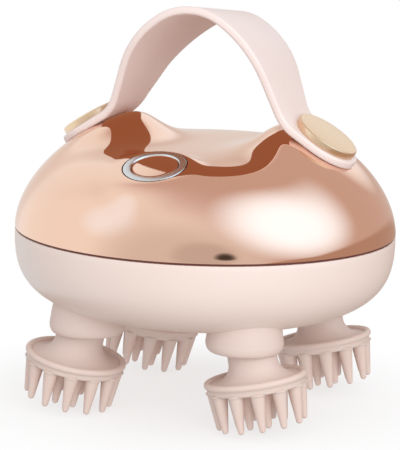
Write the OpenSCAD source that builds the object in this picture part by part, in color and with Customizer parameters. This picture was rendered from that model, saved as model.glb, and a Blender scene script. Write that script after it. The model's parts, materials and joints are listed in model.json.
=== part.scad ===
// Electric scalp massager: a scooped dome over a round bowl, four rotating finger heads under it and
// a hand strap over it. X runs along the strap, -Y is the button side, Z is up. The origin is on the
// ground under the middle, at the level of the lowest finger tips.

/* [Casings] */
// Outside diameter of both casings at the seam
body_d = 115; // [114:0.5:120]
// Height of the dome over the seam, before its top is scooped out
dome_h = 40; // [39:0.5:44]
// Fullness of the dome's outline seen from above: 2 is an ellipse
dome_fullness_r = 1.83; // [1.75:0.01:2.1]
// Fullness of the dome's outline in height at its sides: 2 is an ellipse
dome_fullness_z = 1.75; // [1.7:0.01:2.1]
// How much fuller that outline is at the front and the back
front_fullness = 0.4; // [0:0.05:0.5]
// Depth of the bowl under the seam
bowl_depth = 25.6; // [25.2:0.1:28]
// Fullness of the bowl's outline seen from above
bowl_fullness_r = 3.94; // [3.6:0.02:4.4]
// Fullness of the bowl's outline in height
bowl_fullness_z = 3.01; // [2.8:0.01:3.4]
// Wall thickness of both casings
wall = 2.2; // [1.6:0.1:2.6]
// Thickness of the seam ring between the casings
seam_t = 0.6; // [0.4:0.1:1]

/* [Scoop in the top] */
// Height of the valley over the seam, in the middle
valley_h = 26.8; // [26:0.1:29]
// How much the valley has climbed towards each strap seat
valley_rise = 25; // [22:0.5:26]
// Distance from the middle at which it has climbed that much
valley_rise_x = 30; // [29:0.5:31]
// Distance to the front and the back over which that climb dies away
horn_w = 15.6; // [14:0.2:18]
// How softly the valley blends into the dome
horn_blend = 6.8; // [5:0.2:7]

/* [Strap] */
// Distance of each strap seat from the middle
seat_x = 35.9; // [34.5:0.1:37.5]
// Tilt of the strap seats
seat_tilt = 32.5; // [30:0.5:35]
// Depth of the flat seat under the dome's surface
seat_sink = 0.9; // [0.6:0.1:1.4]
// Thickness of the strap
strap_t = 2.4; // [1.8:0.1:2.6]
// Radius of the strap's round end
tab_r = 11.3; // [10.6:0.1:12]
// Half width of the strap at its top
strap_half_w = 21; // [18:0.2:22]
// How late the strap swells to that width: 1 is evenly over its height
strap_swell = 1.7; // [1:0.1:3]
// Height of the strap's top over the seam, on its middle line
strap_top = 66.2; // [64:0.2:74]
// Backward lean of the soft strap's crown
strap_lean = 6; // [0:0.5:9]
// How far the crown has settled to the back
strap_shift = 3.2; // [0:0.1:4]
// Rounding of the strap's long edges
strap_edge_r = 0.9; // [0.4:0.1:0.9]
// Distance from the middle of a tab to the corner that its leg runs to
foot_run = 11.2; // [10:0.1:12]
// Angle that the crown turns through on each side
crown_turn = 31; // [30:1:38]
// Radius of the strap's shoulders
shoulder_r = 35; // [30:0.5:37]
// Slope of the strap's legs
leg_slope = 66; // [65:0.5:70]
// Radius of the bend where a leg meets its end
foot_bend_r = 13; // [8:0.5:14]
// Radius of the stud's head
stud_r = 9.85; // [9:0.05:10.2]
// Thickness of the stud's head
stud_t = 2.2; // [1.8:0.1:3]
// Radius of the stud's post
stud_post_r = 2.5; // [2.2:0.1:3]

/* [Power button] */
// Distance of the button from the middle, towards the front
button_y = 40; // [39:0.1:41]
// Tilt of the button
button_tilt = 19; // [17:0.5:20]
// Radius within which the dome is drawn flat round the button
button_pad_r = 12.5; // [12:0.25:14]
// Radius of the silver ring
button_r = 9.2; // [8.6:0.1:9.6]
// Radius of the cap inside the ring
cap_r = 6.9; // [6:0.1:7.6]
// Thickness of the button
button_t = 2.2; // [1.8:0.1:2.6]
// How far the ring stands out of the dome
button_proud = 0.4; // [0.3:0.1:0.9]
// Gap round the button
button_gap = 0.3; // [0.25:0.05:0.4]
// Travel of the button
button_travel = 0.6; // [0.4:0.1:0.7]

/* [Drive] */
// Distance of the head shafts from the middle, along X
shaft_x = 25; // [24.5:0.1:26.5]
// Teeth of the sun gear
sun_teeth = 55; // [55:1:55]
// Teeth of each head gear
head_teeth = 22; // [22:1:22]
// Clearance between the head gears and the bowl's wall
gear_clear = 0.7; // [0.7:0.1:1.5]
// Teeth of the reduction gear's small end
pinion_teeth = 12; // [12:1:13]
// Teeth of the reduction gear's wheel
wheel_teeth = 50; // [48:1:50]
// Teeth of the motor pinion
motor_teeth = 10; // [10:1:11]
// Module of the wheel and the motor pinion
wheel_m = 0.6; // [0.55:0.01:0.6]
// Face width of the sun gear and head gears
gear_w = 5; // [3.5:0.1:5]
// Thickness of the drive plate
plate_t = 2; // [1.6:0.1:2.4]
// Radius of the head shafts
shaft_r = 2; // [1.8:0.05:2.2]
// Running clearance of a shaft in its bore
run_gap = 0.05; // [0.03:0.01:0.08]
// Radius of the motor
motor_r = 12; // [11:0.1:12.2]
// Height of the motor
motor_h = 19; // [16:0.5:20]
// Radius of the battery cell
cell_r = 7; // [6:0.1:7.1]
// Length of the battery cell
cell_l = 50; // [40:1:50]

/* [Heads] */
// Lean of each head on its shaft
lean = 10.75; // [9:0.25:11.5]
// Depth under the seam of the point that the heads lean about
lean_depth = 17.3; // [16.5:0.1:18]
// Distance from that point to the top of a head's disc, along the head
disc_drop = 19.85; // [19.4:0.05:21]
// Radius of a head's neck
neck_r = 7.2; // [6.6:0.1:7.3]
// Radius of the pad's rim
rim_r = 15.2; // [14.4:0.1:15.6]
// Thickness of the pad
pad_t = 2.8; // [2.5:0.1:3.2]
// Radius of the ring of outer fingers
finger_ring_r = 12.4; // [12:0.1:12.6]
// Length of a finger
finger_l = 11; // [9:0.25:12]
// Radius of a finger at its root
finger_root_r = 2.15; // [1.8:0.05:2.3]
// Radius of a finger at its tip
finger_tip_r = 0.95; // [0.7:0.05:1.1]
// Number of outer fingers
finger_n = 12; // [10:1:13]
// Turn of the outer fingers from the lean's direction
finger_phase = -8; // [-15:1:15]

/* [Collars] */
// Outside radius of a collar at its widest
collar_r = 11.4; // [11.2:0.1:11.8]
// Depth of a collar's rim under the seam
collar_depth = 28.95; // [28.6:0.05:29.4]
// Gap between a turning neck and its collar
neck_gap = 0.4; // [0.35:0.05:0.5]

/* [Hidden] */
HEADS = ["fl", "fr", "bl", "br"];
SIDES = [[-1, -1], [1, -1], [-1, 1], [1, 1]];
FOUR = ["collar_", "shaft_bush_", "shaft_seal_", "head_shaft_", "head_gear_", "shaft_clip_", "head_hub_",
        "finger_pad_"];
$fn = 72;
eps = 0.01;
body_r = body_d / 2;

// Heads: where they lean, and so how high the seam stands over the ground
tip_z = pad_t + finger_l - finger_tip_r;
seam_h = lean_depth + (disc_drop + tip_z) * cos(lean)
    + finger_ring_r * cos(finger_phase) * sin(lean) + finger_tip_r;
neck_sweep = neck_r / cos(lean) + (collar_depth - lean_depth) * tan(lean);
collar_bore = neck_sweep + neck_gap;
disc_r = rim_r - 1.3;
disc_t = 1.4;
inner_ring_r = 7;
inner_n = 8;
shaft_end = lean_depth + disc_drop * cos(lean) - 1;

// Drive: levels, as heights over the seam
plate_top = -2.6;
plate_bottom = plate_top - plate_t;
wheel_top = plate_bottom - 1;
wheel_bottom = wheel_top - 3.4;
gear_top = wheel_bottom - 1.2;
gear_bottom = gear_top - gear_w;
bush_top = gear_bottom - 0.3;
bush_flange_t = 1;
boss_top = bush_top - bush_flange_t;
bush_l = 6;
gap_z = 0.3;
seal_t = 3.4;
spigot_top = boss_top - bush_l;
neck_cut = seal_t + gap_z - spigot_top;
addendum = 0.8;
dedendum = 1.25;
gear_room = (body_r - wall) * pow(1 - pow(-gear_bottom / (bowl_depth - wall), bowl_fullness_z),
    1 / bowl_fullness_r) - gear_clear;
gear_m = floor(100 * gear_room / (sun_teeth / 2 + head_teeth + addendum)) / 100;
head_d = gear_m * (sun_teeth + head_teeth) / 2;
shaft_y = sqrt(head_d * head_d - shaft_x * shaft_x);
reduction_x = gear_m * (sun_teeth + pinion_teeth) / 2;
motor_x = reduction_x - wheel_m * (wheel_teeth + motor_teeth) / 2;
plate_r = 48;
pressure = 25;
slack = 0.06;
sun_hole_at = 14.5;
sun_hole_r = 4.5;
sun_pin_r = 2;
pin_r = 1.5;
motor_shaft_r = 1;
motor_nose_r = 3;
motor_screw_y = 8.5;
motor_screw_l = 2.7;
motor_shaft_top = 5;
post_x = 11.5;
post_y = 36.5;
post_r = 2.8;
screw_r = 1.25;
screw_head_r = 2.4;
screw_head_t = 1.7;
washer_r = 4;
washer_t = 0.8;
boss_t = wall + 2;
tongue_top = 2;
rim_blend = 8;
slope_allowance = 1.4;
pad_edge = 6;
screw_head_z = boss_top - 0.5;
seal_r = 4.5;
spigot_r = 6;
boss_r = 7.5;
bush_r = 3.5;
cell_x = motor_x - motor_r - cell_r - 1;
cell_z = plate_top + cell_r + 1;

// Charging contacts in the back of the bowl
contact_x = 4;
contact_depth = 9;
contact_r = 1.6;
contact_l = 5;

// Collars: their hidden top and their waist, as heights over the rim, and the rim's rounding
collar_top = 11;
collar_waist = 6;
rim_round = 1.5;
rim_round_h = 2.7;

// Shapes of the casings
function bowl_r_at(depth, r, d) = r * pow(max(0, 1 - pow(depth / d, bowl_fullness_z)), 1 / bowl_fullness_r);
function bowl_outline(r, d, n) = [for (i = [0:n])
    [r * pow(sin(90 * i / n), 2 / bowl_fullness_r), -d * pow(cos(90 * i / n), 2 / bowl_fullness_z)]];
function plain_dome(x, y, inset) = let (r = norm([x, y]), full = dome_fullness_z
        + front_fullness * (r > 0 ? y * y / (r * r) : 0))
    (dome_h - inset) * pow(max(0, 1 - pow(r / (body_r - inset), dome_fullness_r)), 1 / full);
function valley(x, y) = valley_h + valley_rise * pow(abs(x) / valley_rise_x, 3) * exp(-pow(y / horn_w, 2));
function lower_of(a, b) = (a + b - sqrt((a - b) * (a - b) + horn_blend * horn_blend)) / 2;
// Height of the scooped dome, or of a skin set in by its wall, which needs more depth under steep slopes
function scooped(x, y, inset) = let (rim = min(1, norm([x, y]) / (body_r - inset)),
        floor_z = valley(x, y) - slope_allowance * inset)
    lower_of(plain_dome(x, y, inset), floor_z) - lower_of(0, floor_z) * pow(rim, rim_blend);
// The same, drawn flat to the button's plane round the button
button_z = scooped(0, -button_y, 0);
function dome_z(x, y, inset = 0) = let (near = exp(-pow(norm([x, y + button_y]) / button_pad_r, pad_edge)))
    (1 - near) * scooped(x, y, inset) + near * (button_z - inset + (y + button_y) * tan(button_tilt));

// Strap: its middle line seen from the front, as points with the line's slope and half width at each
seat_z = dome_z(seat_x, 0) - seat_sink;
seat_n = [sin(seat_tilt), cos(seat_tilt)];
tab_mid = [seat_x, seat_z] + seat_n * strap_t / 2;
crown_mid = strap_top - strap_t / 2;
foot_rise = 6;
leg_dir = [cos(leg_slope), -sin(leg_slope)];
tab_dir = [cos(seat_tilt), -sin(seat_tilt)];
corner = tab_mid - tab_dir * foot_run;
// The crown takes the radius at which the crown, shoulder and leg end at that corner
turned = shoulder_r * [sin(leg_slope) - sin(crown_turn), cos(leg_slope) - cos(crown_turn)];
crown_r = cross(corner - [0, crown_mid] - turned, leg_dir)
    / cross([sin(crown_turn), cos(crown_turn) - 1], leg_dir);
function arc(from, r, a0, a1, n) = [for (i = [0:n]) let (a = a0 + (a1 - a0) * i / n)
    [from[0] + r * (sin(a) - sin(a0)), from[1] - r * (cos(a0) - cos(a)), a]];
crown = arc([0, crown_mid], crown_r, 0, crown_turn, 8);
shoulder = arc(crown[8], shoulder_r, crown_turn, leg_slope, 8);
bend_run = foot_bend_r * tan((leg_slope - seat_tilt) / 2);
foot = arc(corner - leg_dir * bend_run, -foot_bend_r, leg_slope, seat_tilt, 6);
foot_z = seat_z + foot_rise;
function swell(z) = pow(sin(90 * min(1, max(0, (z - foot_z) / (crown_mid - foot_z)))), strap_swell);
function strap_w(z) = tab_r + (strap_half_w - tab_r) * swell(z);
tab_end = [for (a = [0:12:84]) let (p = tab_mid + tab_dir * tab_r * sin(a))
    [p[0], p[1], seat_tilt, tab_r * cos(a)]];
half_line = concat([for (p = concat(crown, [for (i = [1:8]) shoulder[i]], foot)) concat(p, [strap_w(p[1])])],
    tab_end);
function mirrored(line) = [for (i = [len(line) - 1:-1:1])
    let (p = line[i]) [-p[0], p[1], -p[2], p[3]]];
full_line = concat(mirrored(half_line), half_line);
function backwards(list) = [for (i = [len(list) - 1:-1:0]) list[i]];

// A ring round the strap at one of its points: a bar with rounded edges, leaning to the back at the crown
function bar(w, t, r) = [for (k = [0:3]) for (a = [0:45:90])
    let (right = k == 0 || k == 3 ? 1 : -1, high = k < 2 ? 1 : -1)
    [right * (w - r) + r * cos(90 * k + a), high * (t / 2 - r) + r * sin(90 * k + a)]];
function strap_ring(p) = let (f = swell(p[1]), roll = strap_lean * f, out = [sin(p[2]), 0, cos(p[2])],
        across = [0, cos(roll), 0] - out * sin(roll), up = out * cos(roll) + [0, sin(roll), 0])
    [for (q = bar(p[3], strap_t, min(strap_edge_r, 0.8 * p[3])))
        [p[0], strap_shift * f, p[1]] + across * q[0] + up * q[1]];

contact_out = bowl_r_at(contact_depth, body_r, bowl_depth) - 0.4;

well_floor = -button_t + button_proud - button_travel - 0.9;
floor_t = 1.2;
well_r = button_r + button_gap;
tube_r = well_r + 1.5;
stem_r = 2.5;
stem_end = -4.8;
board_top = -9;
board_t = 1.6;
board_w = 16;
board_l = 30;
board_screw_y = tube_r + 1.5;
switch_w = 6;
switch_top = stem_end - 0.9;

module on_seam() translate([0, 0, seam_h]) children();
module at_button() on_seam() translate([0, -button_y, button_z]) rotate([button_tilt, 0, 0]) children();
module at_seat(s) on_seam() translate([s * seat_x, 0, seat_z]) rotate([0, s * seat_tilt, 0]) children();
module at_shaft(i) on_seam() translate([SIDES[i][0] * shaft_x, SIDES[i][1] * shaft_y, 0])
    rotate([0, 0, SIDES[i][0] > 0 ? 0 : 180]) children();
module four_shafts() for (s = SIDES) translate([s[0] * shaft_x, s[1] * shaft_y, 0]) children();
module at_posts() for (x = [-1, 1]) for (y = [-1, 1]) translate([x * post_x, y * post_y, 0]) children();
module bore(r) rod(r, -2 * bowl_depth, valley_h / 5);
module rod(r, z0, z1) translate([0, 0, z0]) cylinder(r = r, h = z1 - z0);
module tube(r, bore, z0, z1) difference() {
    rod(r, z0, z1);
    rod(bore, z0 - 1, z1 + 1);
}

// Involute gear with its first tooth on +X
function involute(a) = tan(a) - a * PI / 180;
function half_tooth(m, n, r) = let (base = m * n / 2 * cos(pressure), at = r > base ? acos(base / r) : 0)
    90 / n + (involute(pressure) - involute(at) - slack * 2 / (m * n)) * 180 / PI;
function tooth(m, n, k) = let (base = m * n / 2 * cos(pressure), root = m * (n / 2 - dedendum),
        tip = m * (n / 2 + addendum), start = max(base, root), mid = (start + tip) / 2,
        radii = root < base ? [root, start, mid, tip] : [start, mid, tip],
        flank = [for (r = radii) [r, half_tooth(m, n, r)]])
    concat([for (p = flank) [p[0], k * 360 / n - p[1]]],
        [for (p = backwards(flank)) [p[0], k * 360 / n + p[1]]]);
module gear(m, n, w) linear_extrude(w)
    polygon([for (k = [0:n - 1]) for (p = tooth(m, n, k)) [p[0] * cos(p[1]), p[0] * sin(p[1])]]);
// Turn that puts a gear of n teeth in mesh with one of n0 teeth and turn a0, in direction a from it
function meshed(n0, a0, n, a) = a + 180 - (0.5 - (a - a0) * n0 / 360) * 360 / n;

// The dome, or what is inside its wall: a skin of rings and spokes over a flat base
module dome(inset, base_z, rings, spokes) {
    radii = [for (i = [1:rings]) (body_r - inset) * pow(sin(90 * i / rings), 2 / dome_fullness_r)];
    points = concat([[0, 0, dome_z(0, 0, inset)]], [for (i = [1:rings]) for (j = [0:spokes - 1])
        let (a = 360 * j / spokes, x = radii[i - 1] * cos(a), y = radii[i - 1] * sin(a))
        [x, y, i < rings ? max(base_z, dome_z(x, y, inset)) : base_z]]);
    function at(i, j) = 1 + i * spokes + j % spokes;
    cap = [for (j = [0:spokes - 1]) [0, at(0, j + 1), at(0, j)]];
    skin = [for (i = [0:rings - 2]) for (j = [0:spokes - 1]) for (half = [0, 1])
        half == 0 ? [at(i, j), at(i, j + 1), at(i + 1, j + 1)] : [at(i, j), at(i + 1, j + 1), at(i + 1, j)]];
    base = [for (j = [0:spokes - 1]) at(rings - 1, j)];
    translate([0, 0, seam_t / 2]) polyhedron(points, concat(cap, skin, [base]));
}

module upper_shell() color("#D9A58F") {
    difference() {
        on_seam() dome(inset = 0, base_z = 0, rings = 22, spokes = 72);
        difference() {
            on_seam() {
                dome(inset = wall, base_z = -1, rings = 12, spokes = 48);
                rod(body_r - wall + 0.1, -1, tongue_top + gap_z);
            }
            at_button() rod(tube_r, board_top, 1);
            at_button() for (s = [-1, 1]) translate([0, s * board_screw_y, 0]) rod(2.2, board_top, 2);
            for (s = [-1, 1]) at_seat(s) rod(5.5, -boss_t, 2);
            on_seam() at_posts() rod(post_r, -1, dome_z(post_x, post_y));
        }
        for (s = [-1, 1]) at_seat(s) {
            rod(tab_r + 0.3, 0, 6);
            rod(stud_post_r, -boss_t - 1, 1);
        }
        at_button() {
            rod(well_r, well_floor, 5);
            rod(stem_r + 0.4, board_top - 1, 1);
            rod(well_r, board_top - 1, well_floor - floor_t);
            for (s = [-1, 1]) translate([0, s * board_screw_y, 0]) rod(1, board_top - 1, board_top + 5);
        }
        on_seam() at_posts() rod(screw_r, -1, 6);
    }
    on_seam() at_posts() tube(post_r, screw_r, plate_top, seam_t / 2 + 1);
}

module lower_shell() color("#EBD3C9") on_seam() difference() {
    union() {
        difference() {
            rotate_extrude() polygon(concat(bowl_outline(body_r, bowl_depth, 26), [[0, 0]]));
            difference() {
                rotate_extrude() polygon(concat(bowl_outline(body_r - wall, bowl_depth - wall, 20),
                    [[body_r - wall, 1], [0, 1]]));
                four_shafts() rod(boss_r, -bowl_depth, boss_top);
                rod(5, -bowl_depth, bush_top);
                translate([reduction_x, 0, 0]) rod(4, -bowl_depth, bush_top);
                at_posts() {
                    rod(post_r, -bowl_depth, plate_bottom);
                    rod(screw_head_r + 1.2, -bowl_depth, screw_head_z + 0.8);
                }
            }
            rod(body_r + 1, -seam_t / 2, 1);
        }
        tube(body_r - wall - 0.2, body_r - wall - 1.4, -seam_t / 2 - eps, tongue_top);
        tube(body_r - wall + 0.4, body_r - wall - 1.4, -3.5, -seam_t / 2);
    }
    four_shafts() {
        rod(bush_r, spigot_top, 0);
        rod(spigot_r, -bowl_depth - 1, spigot_top);
    }
    rod(sun_pin_r, bush_top - 5.5, 0);
    translate([reduction_x, 0, 0]) rod(pin_r, bush_top - 5, 0);
    at_posts() {
        rod(screw_r + 0.3, -bowl_depth - 1, 1);
        rod(screw_head_r + 0.2, -bowl_depth - 1, screw_head_z);
    }
    for (s = [-1, 1]) translate([s * contact_x, 0, -contact_depth]) rotate([-90, 0, 0])
        rod(contact_r, 45, body_r + 1);
}

module charge_contacts() color("#E2C27A") on_seam() for (s = [-1, 1])
    translate([s * contact_x, 0, -contact_depth]) rotate([-90, 0, 0])
        rod(contact_r, contact_out - contact_l, contact_out);

module seam_ring() color("#6E3A30") on_seam()
    tube(body_r - 0.5, body_r - wall - 0.1, -seam_t / 2, seam_t / 2);

module strap() color("#EFDDD8") difference() {
    n = len(full_line);
    m = 12;
    points = [for (p = full_line) for (q = strap_ring(p)) q];
    skin = [for (i = [0:n - 2]) for (j = [0:m - 1]) let (a = i * m + j, b = i * m + (j + 1) % m)
        for (half = [0, 1]) half == 0 ? [a, b + m, b] : [a, a + m, b + m]];
    ends = [[for (j = [0:m - 1]) j], [for (j = [m - 1:-1:0]) (n - 1) * m + j]];
    on_seam() polyhedron(points, concat(skin, ends));
    for (s = [-1, 1]) at_seat(s) {
        rod(stud_post_r, -3, strap_t + 3);
        rod(stud_r + 0.1, strap_t, strap_t + 3);
    }
}

module stud(s) color("#DDBE92") at_seat(s) difference() {
    union() {
        rotate_extrude() polygon([[0, strap_t], [stud_r - 0.25, strap_t], [stud_r, strap_t + 0.25],
            [stud_r, strap_t + stud_t - 0.45], [stud_r - 0.45, strap_t + stud_t], [0, strap_t + stud_t]]);
        rod(stud_post_r, -boss_t, strap_t + eps);
    }
    rod(screw_r, -boss_t - 1, strap_t - 1);
}
module stud_left() stud(-1);
module stud_right() stud(1);
module stud_screws() color("#8C8F94") for (s = [-1, 1]) at_seat(s) {
    rod(screw_r, -boss_t, strap_t - 1.5);
    rod(washer_r, -boss_t - washer_t, -boss_t);
    rod(screw_head_r, -boss_t - washer_t - screw_head_t, -boss_t - washer_t);
}

module button_cap() color("#DDA993") at_button() {
    crown_h = 0.5;
    ball = (cap_r * cap_r + crown_h * crown_h) / (2 * crown_h);
    intersection() {
        rod(cap_r, button_proud - button_t, button_proud + 1);
        translate([0, 0, button_proud - 0.35 + crown_h - ball]) sphere(r = ball, $fn = 180);
    }
    rod(stem_r, stem_end, button_proud - button_t + eps);
}
module button_ring() color("#C9CBCF") at_button() rotate_extrude() polygon([
    [cap_r, button_proud - button_t], [button_r, button_proud - button_t], [button_r, button_proud - 0.25],
    [button_r - 0.25, button_proud], [cap_r + 0.3, button_proud], [cap_r, button_proud - 0.3]]);
module button_seal() color("#1B1B1D") at_button() tube(well_r, stem_r + 0.35, well_floor, well_floor + 0.5);

module tact_switch() color("#2B2B2E") at_button() difference() {
    translate([-switch_w / 2, -switch_w / 2, board_top]) cube([switch_w, switch_w, switch_top - board_top]);
    rod(1.75 + 0.3, switch_top - 1.9, switch_top + 1);
}
module switch_plunger() color("#D9D4C8") at_button() rod(1.75, switch_top - 1, stem_end);
module circuit_board() color("#2F6B4B") at_button() difference() {
    translate([-board_w / 2, -board_l / 2, board_top - board_t]) cube([board_w, board_l, board_t]);
    for (s = [-1, 1]) translate([0, s * board_screw_y, 0]) rod(1.1, board_top - 5, board_top + 1);
}
module board_parts() color("#26282B") at_button() translate([0, 0, board_top - board_t]) {
    translate([-3, -3, -1.1]) cube([6, 6, 1.1]);
    translate([-6.5, -8.5, -1.6]) cube([5, 3, 1.6]);
    translate([2, 5.5, -2.6]) cube([5.5, 3.4, 2.6]);
    translate([-7, 4.5, -0.9]) cube([3, 5, 0.9]);
}
module board_screws() color("#8C8F94") at_button() for (s = [-1, 1]) translate([0, s * board_screw_y, 0]) {
    rod(1, board_top - board_t, board_top + 4.5);
    rod(1.9, board_top - board_t - 1.2, board_top - board_t);
}

module battery_cell() color("#3C6FA8") on_seam() translate([cell_x, 0, cell_z]) rotate([90, 0, 0]) {
    translate([0, 0, -cell_l / 2]) cylinder(r = cell_r, h = cell_l);
    rod(2.5, cell_l / 2 - eps, cell_l / 2 + 1);
}

module drive_plate() color("#E6E3DA") on_seam() difference() {
    union() {
        rod(plate_r, plate_bottom, plate_top);
        rod(4, gear_top + 0.6 + gap_z, plate_top);
        four_shafts() rod(4.2, gear_top + 1 + gap_z, plate_top);
        for (y = [-1, 1]) translate([cell_x - cell_r - 1.2, y * cell_l * 0.32 - 2, plate_bottom])
            cube([2 * cell_r + 2.4, 4, cell_r + 1 + plate_t]);
    }
    translate([cell_x, 0, cell_z]) rotate([90, 0, 0]) rod(cell_r, -cell_l, cell_l);
    translate([motor_x, 0, 0]) bore(motor_nose_r + 0.1);
    for (y = [-1, 1]) translate([motor_x, y * motor_screw_y, 0]) bore(1.1);
    four_shafts() bore(shaft_r + run_gap);
    bore(sun_pin_r);
    translate([reduction_x, 0, 0]) bore(pin_r);
    at_posts() bore(screw_r + 0.3);
}

module motor() color("#B9BCC0") on_seam() translate([motor_x, 0, 0]) difference() {
    union() {
        translate([0, 0, plate_top]) rotate_extrude() polygon([[0, 0], [motor_r - 0.8, 0], [motor_r, 0.8],
            [motor_r, motor_h - 0.8], [motor_r - 0.8, motor_h], [0, motor_h]]);
        rod(motor_nose_r, plate_bottom + 0.2, plate_top + eps);
        rod(motor_nose_r, plate_top + motor_h - eps, plate_top + motor_h + 1);
    }
    rod(motor_shaft_r + run_gap, -bowl_depth, motor_shaft_top + gap_z);
    for (y = [-1, 1]) translate([0, y * motor_screw_y, 0])
        rod(1, -bowl_depth, plate_top + motor_screw_l + gap_z);
}
module motor_screws() color("#8C8F94") on_seam() for (y = [-1, 1])
    translate([motor_x, y * motor_screw_y, 0]) {
        rod(1, plate_bottom, plate_top + motor_screw_l);
        rod(1.9, plate_bottom - 1.2, plate_bottom);
    }
module motor_shaft() color("#C7CACD") on_seam() translate([motor_x, 0, 0])
    rod(motor_shaft_r, wheel_bottom - 0.3, motor_shaft_top);
module motor_pinion() color("#C9A24B") on_seam() translate([motor_x, 0, wheel_bottom]) difference() {
    rotate([0, 0, meshed(wheel_teeth, 0, motor_teeth, 180)]) gear(wheel_m, motor_teeth, 3.2);
    rod(motor_shaft_r, -1, 5);
}
module reduction_gear() color("#F1EDE2") on_seam() translate([reduction_x, 0, 0]) difference() {
    union() {
        translate([0, 0, wheel_bottom]) gear(wheel_m, wheel_teeth, wheel_top - wheel_bottom);
        translate([0, 0, gear_bottom]) rotate([0, 0, meshed(sun_teeth, 0, pinion_teeth, 0)])
            gear(gear_m, pinion_teeth, wheel_bottom - gear_bottom + eps);
    }
    bore(pin_r + run_gap);
}
module reduction_pin() color("#C7CACD") on_seam() translate([reduction_x, 0, 0])
    rod(pin_r, bush_top - 5, plate_top);
module sun_gear() color("#F1EDE2") on_seam() difference() {
    union() {
        translate([0, 0, gear_bottom]) gear(gear_m, sun_teeth, gear_w);
        rod(5, gear_bottom, gear_top + 0.6);
    }
    bore(sun_pin_r + run_gap);
    for (k = [0:5]) rotate([0, 0, 60 * k]) translate([sun_hole_at, 0, 0]) bore(sun_hole_r);
}
module sun_pin() color("#C7CACD") on_seam() rod(sun_pin_r, bush_top - 5.5, plate_top);

module casing_screws() color("#8C8F94") on_seam() at_posts() {
    rod(screw_r, screw_head_z, 5.5);
    rod(screw_head_r, screw_head_z - screw_head_t, screw_head_z);
}

module collar(i) color("#DEC2B8") difference() {
    at_shaft(i) {
        translate([0, 0, -collar_depth]) rotate_extrude() polygon(concat(
            [[0, collar_top], [collar_r - 1.4, collar_top], [collar_r - 0.5, collar_waist]],
            [for (a = [0:15:90]) [collar_r - rim_round * (1 - cos(a)), rim_round_h * (1 - sin(a))]],
            [[0, 0]]));
        rod(spigot_r, -collar_depth + 3.5, spigot_top);
    }
    difference() {
        on_seam() rotate_extrude() polygon(concat(bowl_outline(body_r, bowl_depth, 26), [[0, 0]]));
        at_shaft(i) rod(spigot_r, -collar_depth, spigot_top);
    }
    at_shaft(i) {
        rod(collar_bore, -collar_depth - 1, gap_z - neck_cut);
        rod(seal_r, -collar_depth - 1, boss_top);
    }
}
module shaft_seal(i) color("#4A4546") at_shaft(i)
    tube(seal_r, shaft_r + run_gap, gap_z - neck_cut, spigot_top);
module shaft_bush(i) color("#B58A4A") at_shaft(i) difference() {
    union() {
        rod(bush_r, spigot_top, boss_top);
        rod(5, boss_top, bush_top);
    }
    bore(shaft_r + run_gap);
}

module head_shaft(i) color("#C7CACD") at_shaft(i) rod(shaft_r, -shaft_end, plate_top + 1.6);
module shaft_clip(i) color("#8C8F94") at_shaft(i)
    tube(shaft_r + 1.8, shaft_r, plate_top + gap_z, plate_top + gap_z + 0.7);
module head_gear(i) color("#F1EDE2") {
    s = SIDES[i];
    around = atan2(s[1] * shaft_y, s[0] * shaft_x);
    on_seam() translate([s[0] * shaft_x, s[1] * shaft_y, 0]) difference() {
        union() {
            translate([0, 0, gear_bottom]) rotate([0, 0, meshed(sun_teeth, 0, head_teeth, around)])
                gear(gear_m, head_teeth, gear_w);
            rod(4.5, gear_bottom, gear_top + 1);
        }
        bore(shaft_r);
    }
}

// A head's own frame: its axis upright and the top of its disc at zero
module on_head(i) at_shaft(i) translate([0, 0, -lean_depth]) rotate([0, -lean, 0])
    translate([0, 0, -disc_drop]) children();
module head_hub(i) color("#D9BBB0") {
    flare_r = disc_r - 0.9;
    flare_h = 5;
    difference() {
        on_head(i) rotate_extrude() polygon(concat(
            [[0, -disc_t], [disc_r, -disc_t], [disc_r, 0], [flare_r, 0]],
            [for (a = [15:15:90]) [neck_r + (flare_r - neck_r) * (1 - sin(a)), flare_h * (1 - cos(a))]],
            [[neck_r, 14], [0, 14]]));
        at_shaft(i) rod(16, -neck_cut, 0);
        at_shaft(i) rod(shaft_r, -shaft_end, 0);
    }
}
module finger() rotate_extrude($fn = 24) polygon(concat([[0, 0.5], [finger_root_r, 0.5], [finger_root_r, 0]],
    [for (a = [0:18:90]) [finger_tip_r * cos(a), -(finger_l - finger_tip_r) - finger_tip_r * sin(a)]]));
module finger_pad(i) color("#E3C8BE") on_head(i) {
    bead = 1;
    step_r = rim_r - 0.7;
    rotate_extrude() polygon(concat(
        [[0, -disc_t], [disc_r, -disc_t], [disc_r, 0], [disc_r - 0.7, 0]],
        [for (a = [180:-22.5:-67.5]) [rim_r - bead + bead * cos(a), bead * sin(a) - 0.1]],
        [[step_r, -1.3], [step_r, -pad_t + 0.7], [step_r - 0.7, -pad_t], [0, -pad_t]]));
    for (k = [0:finger_n - 1]) rotate([0, 0, finger_phase + 180 + 360 * k / finger_n])
        translate([finger_ring_r, 0, -pad_t]) finger();
    for (k = [0:inner_n - 1]) rotate([0, 0, finger_phase + 360 * k / inner_n])
        translate([inner_ring_r, 0, -pad_t]) finger();
    translate([0, 0, -pad_t]) finger();
}

upper_shell();
lower_shell();
seam_ring();
strap();
stud_left();
stud_right();
stud_screws();
button_cap();
button_ring();
button_seal();
tact_switch();
switch_plunger();
circuit_board();
board_parts();
board_screws();
battery_cell();
drive_plate();
motor();
motor_screws();
motor_shaft();
motor_pinion();
reduction_gear();
reduction_pin();
sun_gear();
sun_pin();
casing_screws();
charge_contacts();
for (i = [0:3]) {
    collar(i);
    shaft_bush(i);
    shaft_seal(i);
    head_shaft(i);
    head_gear(i);
    shaft_clip(i);
    head_hub(i);
    finger_pad(i);
}
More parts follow.
